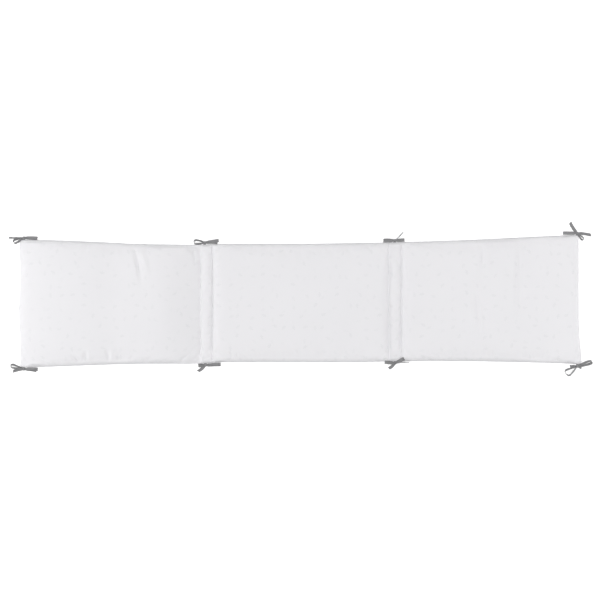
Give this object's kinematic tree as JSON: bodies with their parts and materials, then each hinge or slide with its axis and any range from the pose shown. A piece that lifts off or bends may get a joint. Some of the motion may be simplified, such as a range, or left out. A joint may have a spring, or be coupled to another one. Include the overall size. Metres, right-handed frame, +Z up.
{
  "type": "crib bumper",
  "caption": "Padded fabric crib bumper in panels joined by narrow stitched hinge strips, laid flat, with ribbon ties in bows along its long edges.",
  "frame": {"origin": "on the flat underside of the band, near the middle of its length and width", "axes": "+X along the band toward its flared end, +Y across it toward its upper edge as laid, +Z up out of its padded face"},
  "size_m": [1.8856, 0.4983, 0.0339],
  "materials": {
    "cover_cotton": "matt white woven cotton with a faint pale-grey sprig print",
    "tie_ribbon": "matt mid-grey woven ribbon"
  },
  "bodies": {
    "root": {"padded_band": "cover_cotton", "tie_top_left": "tie_ribbon", "tie_top_left_hinge": "tie_ribbon", "tie_top_right_hinge": "tie_ribbon", "tie_top_right": "tie_ribbon", "tie_bottom_left": "tie_ribbon", "tie_bottom_left_hinge": "tie_ribbon", "tie_bottom_right_hinge": "tie_ribbon", "tie_bottom_right": "tie_ribbon"}
  },
  "joints": []
}
